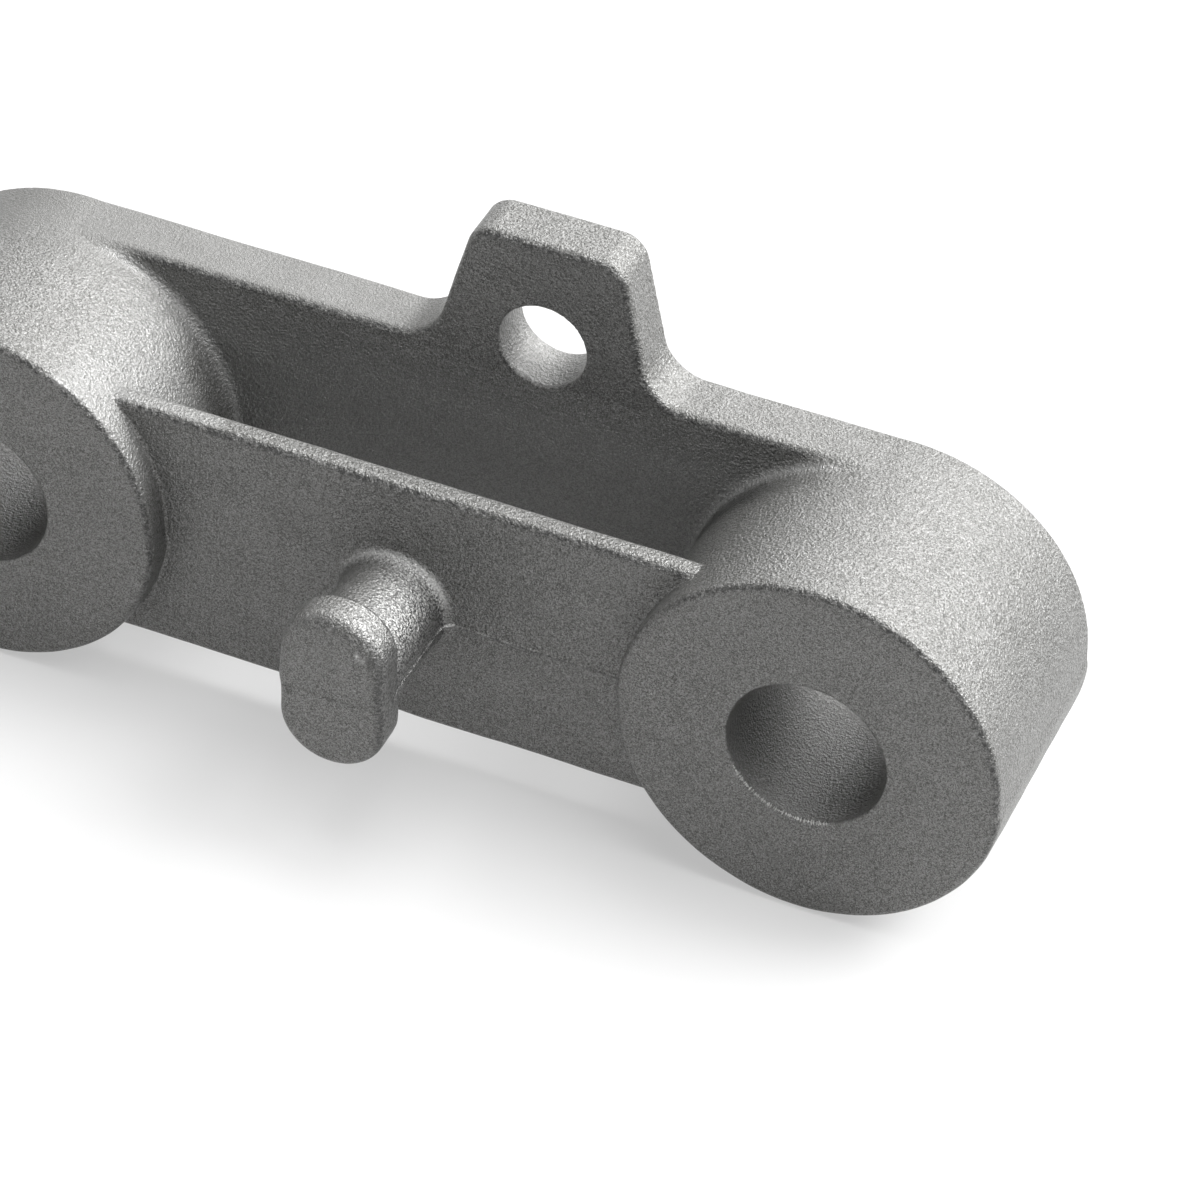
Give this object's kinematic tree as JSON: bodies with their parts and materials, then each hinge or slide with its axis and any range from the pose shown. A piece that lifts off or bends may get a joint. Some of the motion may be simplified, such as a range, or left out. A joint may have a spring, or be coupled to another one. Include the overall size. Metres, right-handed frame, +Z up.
{
  "type": "exhaust tailpipe bracket",
  "caption": "Cast bracket: bored round bosses joined by thin walls with an open pocket between them, a holed tab on top, and a headed stub in front that holds an exhaust's rubber hanger.",
  "frame": {"origin": "on the flat back face, midway between the bores and on their axis plane", "axes": "+X from the left bore to the right bore, +Y out of the back face, +Z up towards the tab"},
  "size_m": [0.0976, 0.0288, 0.0412],
  "materials": {
    "blasted_steel": "matte, shot blasted"
  },
  "bodies": {
    "root": {"bracket_casting": "blasted_steel"}
  },
  "joints": []
}
